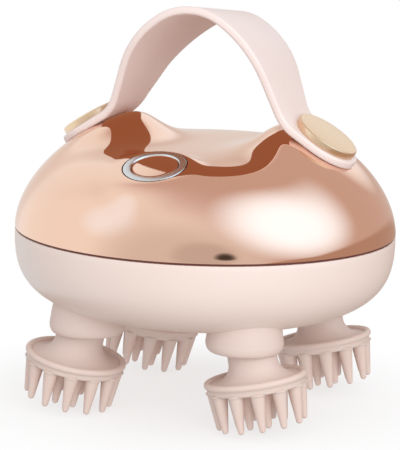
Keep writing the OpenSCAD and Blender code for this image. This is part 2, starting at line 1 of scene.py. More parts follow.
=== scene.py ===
"""Electric scalp massager: a mirror-bright scooped dome over a satin bowl, a soft hand strap held by two
gold studs, a power button in the slope, and four leaning silicone heads. Shapes are modelled in millimetres
from the parting plane of the casings, and placed in metres."""

import json
import math

import bmesh
import bpy
from mathutils import Matrix, Vector


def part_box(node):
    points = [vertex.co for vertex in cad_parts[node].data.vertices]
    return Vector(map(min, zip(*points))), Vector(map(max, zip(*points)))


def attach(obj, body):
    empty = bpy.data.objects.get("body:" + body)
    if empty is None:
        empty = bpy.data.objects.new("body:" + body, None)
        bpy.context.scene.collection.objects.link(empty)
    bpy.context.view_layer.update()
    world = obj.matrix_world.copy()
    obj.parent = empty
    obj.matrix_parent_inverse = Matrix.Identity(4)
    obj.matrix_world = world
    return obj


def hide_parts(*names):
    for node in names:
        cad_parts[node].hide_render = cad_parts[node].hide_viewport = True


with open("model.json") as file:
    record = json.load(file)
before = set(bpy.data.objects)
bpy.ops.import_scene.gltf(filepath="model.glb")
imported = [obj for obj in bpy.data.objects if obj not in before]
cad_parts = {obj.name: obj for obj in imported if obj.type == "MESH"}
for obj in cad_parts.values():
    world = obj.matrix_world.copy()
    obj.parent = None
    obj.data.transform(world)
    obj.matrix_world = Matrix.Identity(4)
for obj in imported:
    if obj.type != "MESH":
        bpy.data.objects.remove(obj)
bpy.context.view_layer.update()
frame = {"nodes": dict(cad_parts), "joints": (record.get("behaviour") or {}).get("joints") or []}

MM = 0.001

# Sizes read from the frame
SEAM = sum(corner.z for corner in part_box("seam_ring")) / 2
BODY_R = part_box("lower_shell")[1].x / MM
COLLAR_DEPTH = (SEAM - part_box("collar_fr")[0].z) / MM
JOINTS = {joint["name"]: joint for joint in frame["joints"]}
# From the shapes' millimetres to the frame's metres
TO_FRAME = Matrix.Translation((0, 0, SEAM)) @ Matrix.Scale(MM, 4)

# Steps in a full round: the casings, the button and pads, the heads and studs, the cuts and floor, small
# parts, and fingers
CASING_TURNS = 256
BUTTON_TURNS = 160
HEAD_TURNS = 128
CUT_TURNS = 96
SMALL_TURNS = 48
FINGER_TURNS = 28

# Dome: its outline, fuller at the front and the back, and the valley scooped out of its top
DOME_H = 40.0
DOME_FULL_R = 1.83
DOME_FULL_Z = 1.75
FRONT_FULL = 0.4
VALLEY_H = 26.8
VALLEY_RISE = 25.0
VALLEY_RISE_AT = 30.0
HORN_W = 15.6
HORN_BLEND = 6.8
RIM_BLEND = 8
SLOPE_ALLOWANCE = 1.4
PAD_EDGE = 6
WALL = 2.2
SEAM_T = 0.6
EDGE_BREAK = (0.07, 0.25)
TAB_POCKET_GAP = 0.3
TAB_POCKET_H = 6
BUTTON_WELL = (-4, 5)
GASKET_INSET = 0.5
GASKET_LAP = 0.1

# Bowl
BOWL_DEPTH = 25.6
BOWL_FULL_R = 3.94
BOWL_FULL_Z = 3.01
POST_X = 11.5
POST_Y = 36.5
SCREW_HEAD_R = 2.4
SCREW_HEAD_T = 1.7
SCREW_END = 5.5
RECESS_TURN = 25
RECESS = (3.0, 0.7, 1.6)
WELL_GAP = 0.2
SLEEVE_WALL = 1.2
SLEEVE_FLOOR = 0.8
SLEEVE_BORE_R = 1.5
CONTACT_X = 4.0
CONTACT_DEPTH = 9.0
CONTACT_R = 1.6
CONTACT_OUT = 56.462
CONTACT_IN = 51
CONTACT_GAP = 0.05
SCREW_R = 1.25
SCREW_HEAD_Z = -17.0
SLEEVE_LOW = -22.6

# Strap and studs
SEAT_X = 35.9
SEAT_TILT = 32.5
SEAT_SINK = 0.9
STRAP_T = 2.4
STRAP_TOP = 66.2
STRAP_HALF_W = 21.0
STRAP_SWELL = 1.7
STRAP_LEAN = 6.0
STRAP_SHIFT = 3.2
STRAP_EDGE_R = 0.9
CROWN_R = 16.062
CROWN_TURN = 31.0
SHOULDER_R = 35.0
LEG_SLOPE = 66.0
FOOT_BEND_R = 13.0
FOOT_RISE = 6.0
TAB_R = 11.3
STUD_R = 9.85
STUD_T = 2.2
STUD_SEAT_GAP = 0.2

# Power button
BUTTON_Y = 40.0
BUTTON_TILT = 19.0
BUTTON_PAD_R = 12.5
BUTTON_R = 9.2
BUTTON_T = 2.2
BUTTON_PROUD = 0.4
BUTTON_GAP = 0.3
CAP_R = 6.9
CAP_GAP = 0.12
CAP_CROWN = 0.15
CAP_FALL = 0.5
STEM_R = 2.5
STEM_END = -4.8

# Heads, each leaning on an upright shaft
LEAN = 10.75
LEAN_DEPTH = 17.3
DISC_DROP = 19.85
DISC_T = 1.4
NECK_R = 7.2
NECK_CUT = 26.2
NECK_H = 14
FLARE_R = 13.0
FLARE_H = 5
RIM_R = 15.2
RIM_BEAD = 1.0
DISC_R = 13.9
PAD_STEP_R = 14.5
PAD_T = 2.8
FINGER_L = 11.0
FINGER_ROOT_R = 2.15
FINGER_TIP_R = 0.95
FINGER_FILLET = 0.4
FINGER_PHASE = -8.0
FINGER_RINGS = ((12.4, 12, 180.0), (7.0, 8, 0.0), (0.0, 1, 0.0))
COLLAR_R = 11.4
COLLAR_WAIST = 6
COLLAR_TOP = 11
COLLAR_FLOOR = 3.05
COLLAR_LIP = (1.38, 2.7)
COLLAR_GAP = 0.4
SEAL_R = 4.5

# Camera, fitted to the photograph's view of the seam, the discs and the studs
CAMERA_AZIMUTH = 22.0
CAMERA_ELEVATION = 10.4
CAMERA_ROLL = 1.55
CAMERA_DISTANCE = 0.70559
CAMERA_LENS = 186.47
CAMERA_ASIDE = -0.00162
CAMERA_ABOVE = 0.00088
CAMERA_SENSOR = 36
CAMERA_CLIP = (0.05, 20)

# Lamps: each one's name, power and place. They are square, and aim at the middle of the object.
LAMPS = (("key", 2.4, (0.45, -0.6, 0.35)), ("fill", 0.15, (-0.5, -0.55, 0.3)))
LAMP_SIZE = 0.6
LAMP_AIM = (0, 0, 0.05)

# Studio: the light that shiny surfaces see all round, and its panels, each as azimuth, elevation, inner and
# outer half angle, and light. Azimuth 0 is in front of the object and 90 is on its right. Bright panels are a
# little cool and dark ones warm, as the lacquer's own colour pulls the other way.
STUDIO_LIGHT = (0.97, 1.03, 1.07)
STUDIO_PANELS = (
    (-110, -39, 78, 165, (1.04, 1.12, 1.14)),
    (146, 51, 23, 93, (0.66, 0.54, 0.51)),
    (-43, 25, 0, 23, (1.08, 1.30, 1.48)),
    (136, 2, 50, 111, (0.67, 0.56, 0.51)),
    (-125, 38, 8, 34, (1.02, 1.10, 1.13)),
    (182, 24, 9, 20, (1.06, 1.14, 1.18)),
    (8, -13, 22, 63, (0.79, 0.80, 0.80)),
    (-146, 7, 0, 24, (0.85, 0.82, 0.78)),
    (84, 34, 4, 48, (1.35, 1.85, 2.30)),
    (22, -5, 12, 24, (0.66, 0.66, 0.65)),
    (135, -62, 64, 68, (0.52, 0.38, 0.31)),
    (34, -4, 2, 8, (0.08, 0.07, 0.06)),
)
# Soft light on matt surfaces: the side it comes from, its colour there and on the far side, and the cosine to
# that side at which each is full
SOFT_FROM = (42, 28)
SOFT_NEAR = (0.88, 0.87, 0.87)
SOFT_FAR = (0.38, 0.32, 0.30)
SOFT_TURN = 0.7
# Share of the floor that is plain white under the object, and the distances between which the rest turns
# white
FLOOR_WHITE = 0.7
FLOOR_FADE = (0.03, 0.10)
FLOOR_R = 3
PAPER_GRAIN = 2.5
# Painted shade that the dome mirrors: a brown glowing skin in place of the strap's shaded underside, above
# a height, a little wider than the strap and dropped below it
PAINTED_STRAP_SHADE = (0.36, 0.15, 0.08)
STRAP_SHADE_FROM = 32.0
STRAP_SHADE_WIDER = 0.1
STRAP_SHADE_DROP = 0.2


# ---------------------------------------------------------------- shaping


def sin(degrees):
    return math.sin(math.radians(degrees))


def cos(degrees):
    return math.cos(math.radians(degrees))


def tan(degrees):
    return math.tan(math.radians(degrees))


def plain_dome(x, y, inset=0.0):
    """Height of the full round dome before it is scooped out, or of a skin set in from it."""
    r = math.hypot(x, y)
    full_z = DOME_FULL_Z + (FRONT_FULL * (y / r) ** 2 if r else 0)
    return (DOME_H - inset) * max(0.0, 1 - (r / (BODY_R - inset)) ** DOME_FULL_R) ** (1 / full_z)


def lower_of(a, b):
    return (a + b - math.hypot(a - b, HORN_BLEND)) / 2


def scooped(x, y, inset=0.0):
    rim = min(1.0, math.hypot(x, y) / (BODY_R - inset))
    climb = VALLEY_RISE * (abs(x) / VALLEY_RISE_AT) ** 3 * math.exp(-(y / HORN_W) ** 2)
    floor = VALLEY_H + climb - SLOPE_ALLOWANCE * inset
    return lower_of(plain_dome(x, y, inset), floor) - lower_of(0.0, floor) * rim ** RIM_BLEND


def dome_height(x, y, inset=0.0):
    """Height of the dome's skin over its rim: the scooped dome, drawn flat to the button's plane round it."""
    near = math.exp(-(math.hypot(x, y + BUTTON_Y) / BUTTON_PAD_R) ** PAD_EDGE)
    plane = BUTTON_Z - inset + (y + BUTTON_Y) * tan(BUTTON_TILT)
    return (1 - near) * scooped(x, y, inset) + near * plane


BUTTON_Z = scooped(0, -BUTTON_Y)
SEAT_Z = dome_height(SEAT_X, 0) - SEAT_SINK
# The leaning neck clears the collar's mouth
COLLAR_BORE = NECK_R / cos(LEAN) + (COLLAR_DEPTH - LEAN_DEPTH) * tan(LEAN) + COLLAR_GAP


def dome_normal(x, y):
    step = 0.02
    slope_x = (dome_height(x + step, y) - dome_height(x - step, y)) / (2 * step)
    slope_y = (dome_height(x, y + step) - dome_height(x, y - step)) / (2 * step)
    return Vector((-slope_x, -slope_y, 1)).normalized()


def rotation(angle, axis):
    return Matrix.Rotation(math.radians(angle), 4, axis)


def button_place():
    return Matrix.Translation((0, -BUTTON_Y, BUTTON_Z)) @ rotation(BUTTON_TILT, "X")


def seat_place(side):
    return Matrix.Translation((side * SEAT_X, 0, SEAT_Z)) @ rotation(side * SEAT_TILT, "Y")


def shaft_place(head):
    x, y, _ = JOINTS[f"head_{head}_spin"]["pos_m"]
    return Matrix.Translation((x / MM, y / MM, 0)) @ rotation(0 if x > 0 else 180, "Z")


def head_place(head):
    return (shaft_place(head) @ Matrix.Translation((0, 0, -LEAN_DEPTH)) @ rotation(-LEAN, "Y")
            @ Matrix.Translation((0, 0, -DISC_DROP)))


def post_places():
    """Places of the four posts that the casing screws go up."""
    return [Matrix.Translation((x * POST_X, y * POST_Y, 0)) for x in (-1, 1) for y in (-1, 1)]


def contact_places():
    return [Matrix.Translation((x, 0, -CONTACT_DEPTH)) @ rotation(-90, "X") for x in (-CONTACT_X, CONTACT_X)]


def soften(corners, steps=5):
    """An outline from (radius, height, rounding) corners: each rounded corner becomes a short curve."""
    line = []
    for i, (r, z, soft) in enumerate(corners):
        here = Vector((r, z))
        if not soft:
            line.append(here)
            continue
        start = here + (Vector(corners[i - 1][:2]) - here).normalized() * soft
        end = here + (Vector(corners[(i + 1) % len(corners)][:2]) - here).normalized() * soft
        for k in range(steps + 1):
            t = k / steps
            line.append(start * (1 - t) ** 2 + here * 2 * t * (1 - t) + end * t * t)
    return line


def spun(outline, segments):
    """A closed outline of (radius, height) points, spun all the way round Z."""
    bm = bmesh.new()
    line = [bm.verts.new((r, 0, z)) for r, z in outline]
    pairs = zip(line, line[1:] + line[:1])
    edges = [bm.edges.new(pair) for pair in pairs if any(v.co.x > 0 for v in pair)]
    bmesh.ops.spin(bm, geom=line + edges, cent=(0, 0, 0), axis=(0, 0, 1), angle=2 * math.pi,
                   steps=segments, use_merge=True)
    bmesh.ops.remove_doubles(bm, verts=bm.verts, dist=1e-4)
    return bm


def swept(rings):
    """A skin extruded through rings of points, closed at both ends."""
    bm = bmesh.new()
    verts = [bm.verts.new(p) for p in rings[0]]
    edges = [bm.edges.new(pair) for pair in zip(verts, verts[1:] + verts[:1])]
    bm.faces.new(verts)
    for ring in rings[1:]:
        made = bmesh.ops.extrude_edge_only(bm, edges=edges)["geom"]
        fresh = {v for v in made if isinstance(v, bmesh.types.BMVert)}
        verts = [next(e.other_vert(v) for e in v.link_edges if e.other_vert(v) in fresh) for v in verts]
        edges = [bm.edges.get(pair) for pair in zip(verts, verts[1:] + verts[:1])]
        for vert, point in zip(verts, ring):
            vert.co = point
    bm.faces.new(verts)
    return bm


def moved(bm, place):
    bmesh.ops.transform(bm, matrix=place, verts=bm.verts)
    return bm


def joined(parts):
    """One bmesh that holds all of the parts."""
    whole = bmesh.new()
    for bm in parts:
        mesh = bpy.data.meshes.new("part")
        bm.to_mesh(mesh)
        bm.free()
        whole.from_mesh(mesh)
        bpy.data.meshes.remove(mesh)
    return whole


def made_object(name, bm):
    """Turns a bmesh into an object of the scene."""
    mesh = bpy.data.meshes.new(name)
    bm.to_mesh(mesh)
    bm.free()
    thing = bpy.data.objects.new(name, mesh)
    bpy.context.scene.collection.objects.link(thing)
    return thing


def cut(body, *tools):
    """The body less each of the tools, by exact booleans."""
    solids = []
    for bm in (body, *tools):
        bmesh.ops.recalc_face_normals(bm, faces=bm.faces)
        solids.append(made_object("solid", bm))
    for tool in solids[1:]:
        boolean = solids[0].modifiers.new("cut", "BOOLEAN")
        boolean.operation = "DIFFERENCE"
        boolean.solver = "EXACT"
        boolean.object = tool
    result = bmesh.new()
    result.from_object(solids[0], bpy.context.evaluated_depsgraph_get())
    for solid in solids:
        bpy.data.meshes.remove(solid.data)
    return result


def make_piece(name, bm, material, body, slot, *nodes, crease=32):
    """Turns a bmesh in millimetres into a piece in metres that rides on a body and stands for CAD nodes."""
    bmesh.ops.recalc_face_normals(bm, faces=bm.faces)
    for face in bm.faces:
        face.smooth = True
    for edge in bm.edges:
        edge.smooth = edge.calc_face_angle(0) < math.radians(crease)
    piece = made_object(name, moved(bm, TO_FRAME))
    piece.data.materials.append(material)
    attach(piece, body)
    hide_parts(*nodes)
    return piece


# ---------------------------------------------------------------- finishes


def linear(colour):
    """A hex sRGB colour as linear red, green, blue and alpha."""
    parts = [int(colour[i:i + 2], 16) / 255 for i in (1, 3, 5)]
    return [c / 12.92 if c <= 0.04045 else ((c + 0.055) / 1.055) ** 2.4 for c in parts] + [1.0]


def add(tree, kind, inputs=None, **settings):
    """Adds one node. Settings are its own properties; inputs are its sockets' values, or what feeds them."""
    node = tree.nodes.new(kind)
    for name, value in settings.items():
        setattr(node, name, value)
    for name, value in (inputs or {}).items():
        if isinstance(value, bpy.types.NodeSocket):
            tree.links.new(value, node.inputs[name])
        else:
            node.inputs[name].default_value = value
    return node


def surface(name, pale, deep, patch_mm, grain_mm, grain_depth_mm, roughness, **shader):
    """A finish whose colour drifts between two tones in patches, with a fine grain in height and gloss."""
    material, tree = new_material(name)
    place = add(tree, "ShaderNodeTexCoord").outputs["Object"]
    patches = add(tree, "ShaderNodeTexNoise", {"Vector": place, "Scale": 1 / (patch_mm * MM), "Detail": 3.0})
    grain = add(tree, "ShaderNodeTexNoise", {"Vector": place, "Scale": 1 / (grain_mm * MM), "Detail": 2.0})
    finish(tree, patches.outputs[0], pale, deep, grain.outputs[0], grain_depth_mm, roughness, shader)
    return material


def turned(name, pale, deep, place, line_mm, line_depth_mm, roughness, **shader):
    """A turned metal face: fine concentric lines round the axis of a place given in millimetres."""
    material, tree = new_material(name)
    seat = TO_FRAME @ place
    local = add(tree, "ShaderNodeMapping", {
        "Vector": add(tree, "ShaderNodeTexCoord").outputs["Object"], "Location": seat.to_translation(),
        "Rotation": seat.to_euler()}, vector_type="TEXTURE")
    flat = add(tree, "ShaderNodeVectorMath", {0: local.outputs[0], 1: (1, 1, 0)}, operation="MULTIPLY")
    radius = add(tree, "ShaderNodeVectorMath", {0: flat.outputs[0]}, operation="LENGTH")
    lines = add(tree, "ShaderNodeTexNoise", {
        "W": radius.outputs["Value"], "Scale": 1 / (line_mm * MM), "Detail": 3.0}, noise_dimensions="1D")
    finish(tree, lines.outputs[0], pale, deep, lines.outputs[0], line_depth_mm, roughness, shader)
    return material


def new_material(name):
    material = bpy.data.materials.new(name)
    material.use_nodes = True
    material.node_tree.nodes.clear()
    return material, material.node_tree


def finish(tree, drift, pale, deep, grain, grain_depth_mm, roughness, shader):
    colour = add(tree, "ShaderNodeMix", {0: drift, 6: linear(pale), 7: linear(deep)}, data_type="RGBA")
    gloss = add(tree, "ShaderNodeMapRange", {"Value": grain, "To Min": roughness[0], "To Max": roughness[1]})
    height = add(tree, "ShaderNodeBump", {"Height": grain, "Distance": grain_depth_mm * MM})
    principled = add(tree, "ShaderNodeBsdfPrincipled", {
        "Base Color": colour.outputs[2], "Roughness": gloss.outputs[0], "Normal": height.outputs[0],
        **shader})
    out = add(tree, "ShaderNodeOutputMaterial")
    tree.links.new(principled.outputs[0], out.inputs["Surface"])


# Moulded ABS, metallised in vacuum and lacquered rose gold: a near mirror, with a faint orange peel
rose_gold = surface("vacuum_metallised_abs", "#EFC5AE", "#ECC1AA", 24, 5, 0.002, (0.03, 0.05), Metallic=1.0)
# The same lacquer over a finer moulding, a little softer in its gloss
rose_gold_cap = surface("vacuum_metallised_cap", "#EFC5AE", "#ECC1AA", 9, 3, 0.001, (0.05, 0.08),
                        Metallic=1.0)
# Moulded ABS under a satin pearl lacquer: a pale pink with a wide, soft sheen and a milky edge
pearl_pink = surface("satin_pearl_lacquer", "#F2E2DA", "#EFDDD4", 30, 0.6, 0.002, (0.30, 0.36), **{
    "Coat Weight": 0.25, "Coat Roughness": 0.22, "Specular IOR Level": 0.5})
# Moulded gasket of dark red rubber: a fine dull line between the casings
gasket = surface("moulded_gasket_rubber", "#6E3A30", "#5E3028", 6, 0.5, 0.01, (0.5, 0.6))
# Soft-touch silicone, moulded in a polished tool: pale and waxy, with a soft sheen along its round edges
strap_silicone = surface("moulded_strap_silicone", "#F8E9E5", "#F5E3DE", 20, 0.5, 0.004, (0.36, 0.46))
# Soft-touch ABS, coated matt: the collars and hubs take no highlight, only a soft roll of shade
soft_touch = surface("soft_touch_coated_abs", "#E6D3CB", "#E2CEC5", 16, 0.4, 0.006, (0.48, 0.58))
# Food-grade silicone, moulded matt: soft fingers, a little warmer where they are thin
finger_silicone = surface("moulded_finger_silicone", "#E9D5CC", "#E3CCC2", 12, 0.5, 0.006, (0.42, 0.52), **{
    "Subsurface Weight": 0.15, "Subsurface Scale": 0.003, "Subsurface Radius": (1.0, 0.55, 0.45)})
# Turned aluminium, clear anodised: a grey ring with a bright edge
ring_silver = turned("turned_anodised_aluminium", "#DEDBDA", "#D2CFCE", button_place(), 0.25, 0.001,
                     (0.22, 0.30), Metallic=1.0)
# Moulded rubber seal, black and dull, at the bottom of the button's well
black_rubber = surface("moulded_black_rubber", "#1B1B1D", "#141416", 5, 0.4, 0.01, (0.55, 0.65))
# Grey nitrile lip seals, with the dull bloom of moulded rubber
seal_rubber = surface("moulded_nitrile_rubber", "#4A4546", "#3F3B3C", 5, 0.4, 0.01, (0.55, 0.65))
# Zinc-plated and turned steel: cool and bright, with a faint machined streak
steel = surface("zinc_plated_steel", "#B9BCC0", "#A6A9AD", 4, 0.3, 0.003, (0.25, 0.38), Metallic=1.0)
# Nickel-plated deep-drawn motor can
motor_can = surface("nickel_plated_can", "#C4C6C9", "#B3B5B9", 8, 0.5, 0.003, (0.22, 0.32), Metallic=1.0)
# Hobbed brass pinion
brass = surface("hobbed_brass", "#C9A24B", "#B98F3C", 2, 0.3, 0.004, (0.25, 0.38), Metallic=1.0)
# Sintered bronze bushes: brown-gold and finely porous, with a film of oil
bronze = surface("sintered_bronze", "#B58A4A", "#95703A", 1.5, 0.25, 0.02, (0.35, 0.55), Metallic=1.0)
# Hard gold plating on the charging pins: a small clean glint
contact_gold = surface("hard_gold_plating", "#E2C27A", "#DAB566", 2, 0.4, 0.001, (0.14, 0.22), Metallic=1.0)
# Moulded acetal: a white, slippery plastic with a waxy gloss
acetal = surface("moulded_acetal", "#F1EDE2", "#E9E4D7", 12, 0.6, 0.004, (0.32, 0.42))
# Glass-epoxy board under green solder mask
solder_mask = surface("solder_mask", "#2F6B4B", "#28603F", 6, 0.6, 0.004, (0.25, 0.35))
# Shrunk PVC sleeve round the cell
cell_sleeve = surface("shrunk_pvc_sleeve", "#3C6FA8", "#35659C", 12, 1.5, 0.02, (0.22, 0.32))
# Moulded phenolic of the switch and the chips
switch_black = surface("moulded_phenolic", "#2B2B2E", "#232326", 3, 0.3, 0.005, (0.4, 0.5))
# Moulded nylon plunger, ivory and slightly glossy
plunger = surface("moulded_nylon", "#D9D4C8", "#CFC9BB", 3, 0.4, 0.004, (0.3, 0.4))

NODE_FINISHES = (
    (rose_gold, ("upper_shell",)),
    (rose_gold_cap, ("button_cap",)),
    (pearl_pink, ("lower_shell",)),
    (gasket, ("seam_ring",)),
    (strap_silicone, ("strap",)),
    (contact_gold, ("stud_left", "stud_right", "charge_contacts")),
    (steel, ("stud_screws", "board_screws", "motor_screws", "casing_screws", "reduction_pin", "sun_pin",
             "motor_shaft", "head_shaft_", "shaft_clip_")),
    (ring_silver, ("button_ring",)),
    (black_rubber, ("button_seal",)),
    (seal_rubber, ("shaft_seal_",)),
    (switch_black, ("tact_switch", "board_parts")),
    (plunger, ("switch_plunger",)),
    (solder_mask, ("circuit_board",)),
    (cell_sleeve, ("battery_cell",)),
    (acetal, ("drive_plate", "reduction_gear", "sun_gear", "head_gear_")),
    (motor_can, ("motor",)),
    (brass, ("motor_pinion",)),
    (bronze, ("shaft_bush_",)),
    (soft_touch, ("collar_", "head_hub_")),
    (finger_silicone, ("finger_pad_",)),
)


def dress_frame():
    """Gives each node of the frame its finish."""
    finishes = {stem: material for material, stems in NODE_FINISHES for stem in stems}
    for name, node in frame["nodes"].items():
        stem = name if name in finishes else name.rsplit("_", 1)[0] + "_"
        node.data.materials.clear()
        node.data.materials.append(finishes[stem])


# ---------------------------------------------------------------- casings


def quarter(radius, height, full_r, full_z, steps):
    """A quarter of a rounded outline, from its middle on the axis to its widest point."""
    turns = [math.pi / 2 * k / steps for k in range(steps + 1)]
    return [(radius * math.sin(a) ** (2 / full_r), height * max(0.0, math.cos(a)) ** (2 / full_z))
            for a in turns]


def plug(radius, low, high, place, segments=CUT_TURNS):
    return moved(spun([(0, low), (radius, low), (radius, high), (0, high)], segments), place)


def make_dome():
    outside = quarter(BODY_R, DOME_H, DOME_FULL_R, DOME_FULL_Z, 80)[:-1]
    inside = quarter(BODY_R - WALL, DOME_H - WALL, DOME_FULL_R, DOME_FULL_Z, 24)
    edge = [(BODY_R - EDGE_BREAK[0], EDGE_BREAK[0]), (BODY_R - EDGE_BREAK[1], 0)]
    bm = spun(outside + edge + inside[::-1], CASING_TURNS)
    for vert in bm.verts:
        x, y, z = vert.co
        full = DOME_H * max(0.0, 1 - (math.hypot(x, y) / BODY_R) ** DOME_FULL_R) ** (1 / DOME_FULL_Z)
        if z > 0.1:
            vert.co.z = dome_height(x, y, 0.0 if abs(z - full) < 0.01 else WALL)
        vert.co.z += SEAM_T / 2
    pockets = [plug(TAB_R + TAB_POCKET_GAP, 0, TAB_POCKET_H, seat_place(side)) for side in (-1, 1)]
    bm = cut(bm, plug(BUTTON_R + BUTTON_GAP, *BUTTON_WELL, button_place()), *pockets)
    piece = make_piece("dome", bm, rose_gold, "root", "rose_gold_shell", "upper_shell")
    shade_dome(piece.data)


def shade_dome(mesh):
    """Gives the dome's skin the true normals of its shape, so reflections run over it without ripples."""
    normals = []
    for face in mesh.polygons:
        for k in face.loop_indices:
            x, y, z = (mesh.vertices[mesh.loops[k].vertex_index].co - Vector((0, 0, SEAM))) / MM
            true = dome_normal(x, y)
            skin = abs(z - dome_height(x, y) - SEAM_T / 2) < 0.02 and math.hypot(x, y) < BODY_R - 0.2
            normals.append(true if skin and true.dot(face.normal) > 0.9 else Vector((0, 0, 0)))
    mesh.normals_split_custom_set(normals)


def make_bowl():
    outside = quarter(BODY_R, -BOWL_DEPTH, BOWL_FULL_R, BOWL_FULL_Z, 56)
    top, (near, far) = -SEAM_T / 2, EDGE_BREAK
    inside = quarter(BODY_R - WALL, WALL - BOWL_DEPTH, BOWL_FULL_R, BOWL_FULL_Z, 24)
    outside, inside = ([p for p in line if p[1] < top - 0.3] for line in (outside, inside))
    rim = [(BODY_R, top - far), (BODY_R - near, top - near), (BODY_R - far, top), (BODY_R - WALL, top)]
    bm = spun(outside + rim + inside[::-1], CASING_TURNS)
    bore = SCREW_HEAD_R + WELL_GAP
    wells = [plug(bore, -BOWL_DEPTH - 1, 1 - BOWL_DEPTH + WALL, post, SMALL_TURNS) for post in post_places()]
    pins = [plug(CONTACT_R, CONTACT_IN - 1, BODY_R + 1, back, SMALL_TURNS) for back in contact_places()]
    bm = cut(bm, *wells, *pins)
    floor = SCREW_HEAD_Z + SLEEVE_FLOOR
    sleeve = [(bore, SLEEVE_LOW), (bore + SLEEVE_WALL, SLEEVE_LOW), (bore + SLEEVE_WALL, floor),
              (SLEEVE_BORE_R, floor), (SLEEVE_BORE_R, SCREW_HEAD_Z), (bore, SCREW_HEAD_Z)]
    sleeves = [moved(spun(sleeve, SMALL_TURNS), post) for post in post_places()]
    make_piece("bowl", joined([bm, *sleeves]), pearl_pink, "root", "pearl_pink_bowl", "lower_shell")


def make_gasket():
    out, back, half = BODY_R - GASKET_INSET, BODY_R - WALL - GASKET_LAP, SEAM_T / 2
    bm = spun([(out, -half), (out, half), (back, half), (back, -half)], CASING_TURNS)
    make_piece("gasket", bm, gasket, "root", "seam_gasket", "seam_ring")


def make_contacts():
    radius = CONTACT_R - CONTACT_GAP
    pin = soften([(0, CONTACT_IN, 0), (radius, CONTACT_IN, 0), (radius, CONTACT_OUT, 0.3),
                  (0, CONTACT_OUT, 0)])
    pins = [moved(spun(pin, SMALL_TURNS), back) for back in contact_places()]
    make_piece("charging_pins", joined(pins), contact_gold, "root", "contact_gold", "charge_contacts")


def make_screws():
    """Four pan-head screws, each with its cross recess."""
    low = SCREW_HEAD_Z - SCREW_HEAD_T
    outline = soften([(0, low, 0), (SCREW_HEAD_R, low, 0.6), (SCREW_HEAD_R, SCREW_HEAD_Z, 0.1),
                      (SCREW_R, SCREW_HEAD_Z, 0), (SCREW_R, SCREW_END, 0.3), (0, SCREW_END, 0)])
    screws = []
    for post in post_places():
        slots = []
        for turn in (0, 90):
            slot = bmesh.new()
            bmesh.ops.create_cube(slot, size=1)
            slots.append(moved(slot, Matrix.Translation((0, 0, low)) @ rotation(turn + RECESS_TURN, "Z")
                               @ Matrix.Diagonal((*RECESS, 1))))
        screws.append(moved(cut(spun(outline, SMALL_TURNS), *slots), post))
    make_piece("casing_screw_heads", joined(screws), steel, "root", "steel_fastener", "casing_screws")


# ---------------------------------------------------------------- strap and studs


def arc(start, radius, turn, turn_to, steps):
    """Points of an arc and the slope at each. A positive radius bends the line down."""
    turns = [turn + (turn_to - turn) * k / steps for k in range(steps + 1)]
    return [(start[0] + radius * (sin(a) - sin(turn)), start[1] - radius * (cos(turn) - cos(a)), a)
            for a in turns]


def strap_line():
    """The middle line of the strap's right half, from crown to tab end, with its slope and half width."""
    seat = Vector((SEAT_X, SEAT_Z))
    tab = seat + Vector((sin(SEAT_TILT), cos(SEAT_TILT))) * STRAP_T / 2
    along = Vector((cos(SEAT_TILT), -sin(SEAT_TILT)))
    crown = arc((0, STRAP_TOP - STRAP_T / 2), CROWN_R, 0, CROWN_TURN, 20)
    shoulder = arc(crown[-1], SHOULDER_R, CROWN_TURN, LEG_SLOPE, 22)
    leg = Vector((cos(LEG_SLOPE), -sin(LEG_SLOPE)))
    top = Vector(shoulder[-1][:2])
    corner = top + leg * ((tab - top).cross(along) / leg.cross(along))
    bend = corner - leg * FOOT_BEND_R * tan((LEG_SLOPE - SEAT_TILT) / 2)
    foot = arc(bend, -FOOT_BEND_R, LEG_SLOPE, SEAT_TILT, 12)
    low, high = seat.y + FOOT_RISE, STRAP_TOP - STRAP_T / 2
    line = []
    for x, z, turn in crown + shoulder[1:] + foot:
        share = min(1.0, max(0.0, (z - low) / (high - low)))
        swell = math.sin(math.pi / 2 * share) ** STRAP_SWELL
        line.append((x, z, turn, TAB_R + (STRAP_HALF_W - TAB_R) * swell, swell))
    for a in range(0, 89, 4):
        line.append((*(tab + along * TAB_R * sin(a)), SEAT_TILT, TAB_R * cos(a), 0.0))
    return line


def both_sides(half):
    """The whole of a line of which the right half, from its crown, is given."""
    return [(-x, z, -turn, width, swell) for x, z, turn, width, swell in half[:0:-1]] + half


def strap_ring(x, z, turn, half, swell, spare=0.0, drop=0.0):
    """The strap's section at a point of its line: a bar with round edges, leaning back at the crown."""
    roll = STRAP_LEAN * swell
    out = Vector((sin(turn), 0, cos(turn)))
    across = Vector((0, cos(roll), 0)) - out * sin(roll)
    up = out * cos(roll) + Vector((0, sin(roll), 0))
    soft = min(STRAP_EDGE_R, 0.8 * half)
    middle = Vector((x, STRAP_SHIFT * swell, z))
    ring = []
    for k in range(4):
        right, high = (1 if k in (0, 3) else -1), (1 if k < 2 else -1)
        for a in range(90 * k, 90 * k + 91, 15):
            aside = right * (half - soft + spare) + soft * cos(a)
            rise = high * (STRAP_T / 2 - soft) + soft * sin(a) - drop
            ring.append(middle + across * aside + up * rise)
    return ring


def make_strap():
    bm = swept([strap_ring(*point) for point in both_sides(strap_line())])
    for side in (-1, 1):
        seat = seat_place(side)
        moved(bm, seat.inverted())
        for vert in bm.verts:
            under = math.hypot(vert.co.x, vert.co.y) < STUD_R + STUD_SEAT_GAP
            if under and abs(vert.co.z) < 2 * STRAP_T:
                vert.co.z = min(vert.co.z, STRAP_T)
        moved(bm, seat)
    make_piece("hand_strap", bm, strap_silicone, "root", "strap_silicone", "strap")


